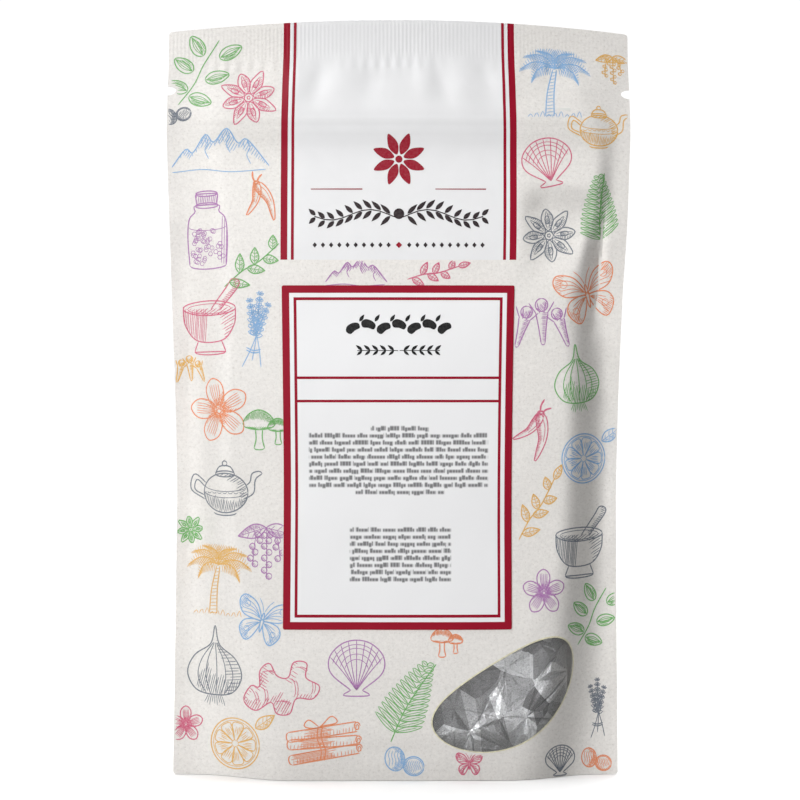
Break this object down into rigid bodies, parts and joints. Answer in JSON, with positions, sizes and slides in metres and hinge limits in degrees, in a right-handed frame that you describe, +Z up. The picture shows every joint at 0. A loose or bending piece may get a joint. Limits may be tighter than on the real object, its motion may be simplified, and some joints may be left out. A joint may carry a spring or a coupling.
{
  "type": "stand-up pouch",
  "caption": "Filled flexible stand-up pouch with an opened bottom gusset, press-to-close zip, tear notches, front label and a small window onto a crumpled foil bag.",
  "frame": {"origin": "on the floor, under the middle of the pouch's width and depth", "axes": "+Z up along the height, +X to the right seen from the front, +Y from the labelled front to the back"},
  "size_m": [0.1296, 0.033, 0.21],
  "materials": {
    "printed_film": "satin",
    "clear_film": "gloss",
    "label_paper": "satin",
    "zip_plastic": "satin",
    "foil": "polished"
  },
  "bodies": {
    "root": {"front_panel": "printed_film", "back_panel": "printed_film", "bottom_gusset": "printed_film", "window_pane": "clear_film", "front_label": "label_paper", "zip_groove": "zip_plastic", "zip_rib": "zip_plastic", "inner_foil_bag": "foil"}
  },
  "joints": []
}
